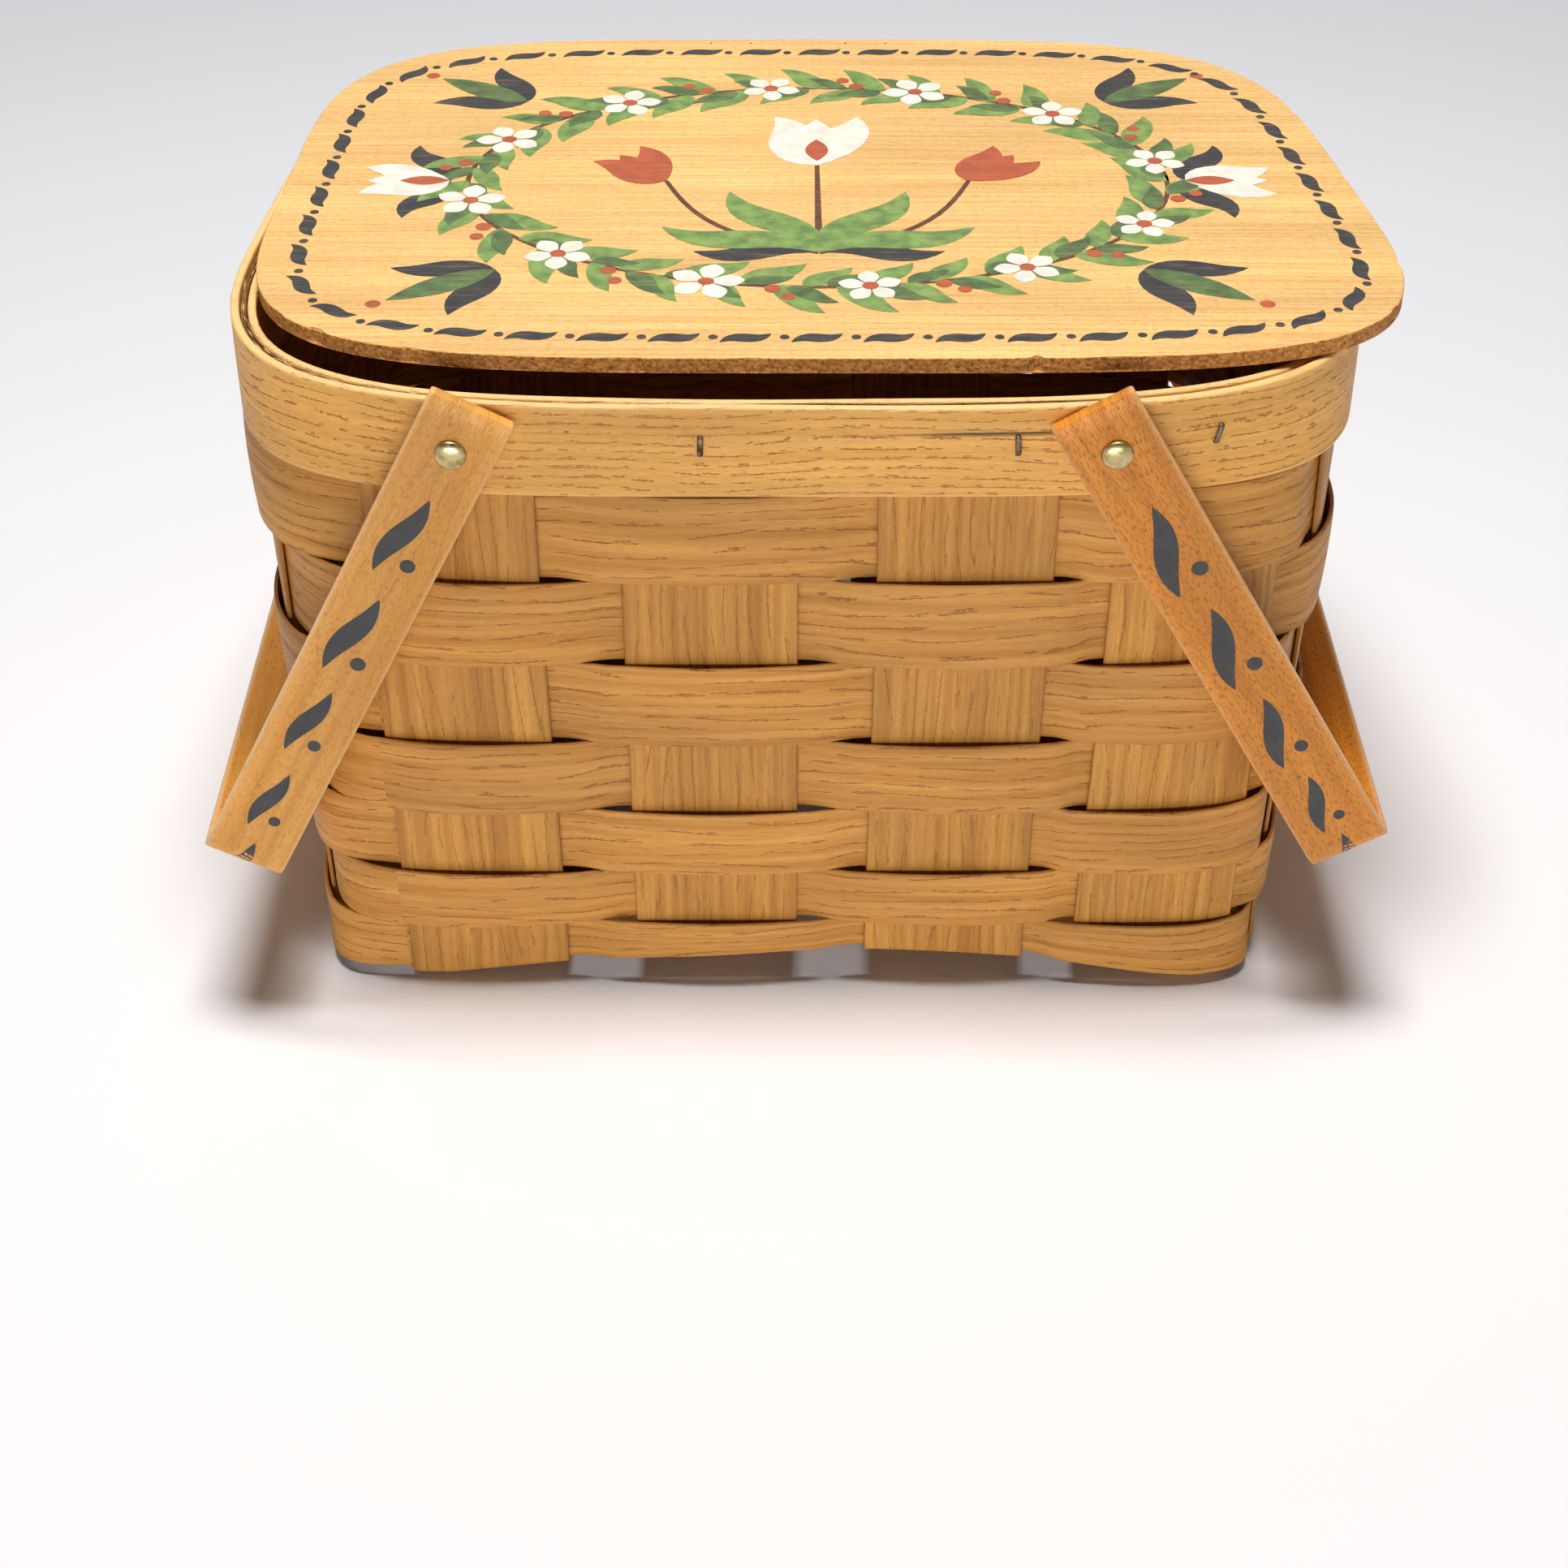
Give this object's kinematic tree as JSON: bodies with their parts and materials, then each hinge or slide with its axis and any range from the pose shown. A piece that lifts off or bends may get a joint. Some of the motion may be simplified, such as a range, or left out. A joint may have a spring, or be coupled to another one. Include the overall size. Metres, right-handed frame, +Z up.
{
  "type": "picnic basket",
  "caption": "Woven wood-splint picnic basket with a flared body, banded rim, two bentwood swing handles on rivets and a flat board lid hinged at the back.",
  "frame": {"origin": "on the floor, under the middle of the bounding box", "axes": "+X to the right along the basket's length, -Y to the front, +Z up"},
  "size_m": [0.4476, 0.3284, 0.2805],
  "materials": {
    "weaver_splint": "ash splint, clear finish, satin",
    "stake_splint": "ash splint, clear finish, satin",
    "rim_wood": "bent ash strip, clear finish, satin",
    "handle_wood": "bent hardwood, clear finish, black stencilled leaves and dots",
    "lid_board": "veneered board, clear finish, painted folk pattern",
    "brass": "aged, satin",
    "steel": "dull, darkened"
  },
  "bodies": {
    "basket": {"long_stake_1": "stake_splint", "long_stake_2": "stake_splint", "long_stake_3": "stake_splint", "long_stake_4": "stake_splint", "cross_stake_1": "stake_splint", "cross_stake_2": "stake_splint", "cross_stake_3": "stake_splint", "weaver_row_1": "weaver_splint", "weaver_row_2": "weaver_splint", "weaver_row_3": "weaver_splint", "weaver_row_4": "weaver_splint", "weaver_row_5": "weaver_splint", "weaver_row_6": "weaver_splint", "weaver_row_7": "weaver_splint", "rim_outer_band": "rim_wood", "rim_inner_band": "rim_wood", "rim_filler": "stake_splint", "rim_staple_1": "steel", "rim_staple_2": "steel", "rim_staple_3": "steel", "rim_staple_4": "steel", "rim_staple_5": "steel", "rim_staple_6": "steel", "rim_staple_7": "steel", "rim_staple_8": "steel", "rivet_front_left": "brass", "rivet_front_right": "brass", "rivet_back_left": "brass", "rivet_back_right": "brass", "rivet_washer_front_left": "brass", "rivet_washer_front_right": "brass", "rivet_washer_back_left": "brass", "rivet_washer_back_right": "brass", "hinge_rim_leaf_1": "steel", "hinge_rim_leaf_2": "steel", "hinge_pin_1": "steel", "hinge_pin_2": "steel", "rim_nail_1": "steel", "rim_nail_2": "steel", "rim_nail_3": "steel", "rim_nail_4": "steel"},
    "lid": {"lid": "lid_board", "hinge_lid_leaf_1": "steel", "hinge_lid_leaf_2": "steel", "lid_nail_1": "steel", "lid_nail_2": "steel", "lid_nail_3": "steel", "lid_nail_4": "steel"},
    "left_handle": {"handle_left": "handle_wood"},
    "right_handle": {"handle_right": "handle_wood"}
  },
  "joints": [
    {"name": "lid_hinge", "type": "hinge", "parent": "basket", "child": "lid", "pos_m": [0, 0.1608, 0.2706], "axis": [-1, 0, 0], "range_deg": [0, 200]},
    {"name": "left_handle_swing", "type": "hinge", "parent": "basket", "child": "left_handle", "pos_m": [-0.11743, 0, 0.2568], "axis": [0, 1, 0], "range_deg": [0, 180]},
    {"name": "right_handle_swing", "type": "hinge", "parent": "basket", "child": "right_handle", "pos_m": [0.10827, 0, 0.2568], "axis": [0, -1, 0], "range_deg": [0, 180]}
  ]
}
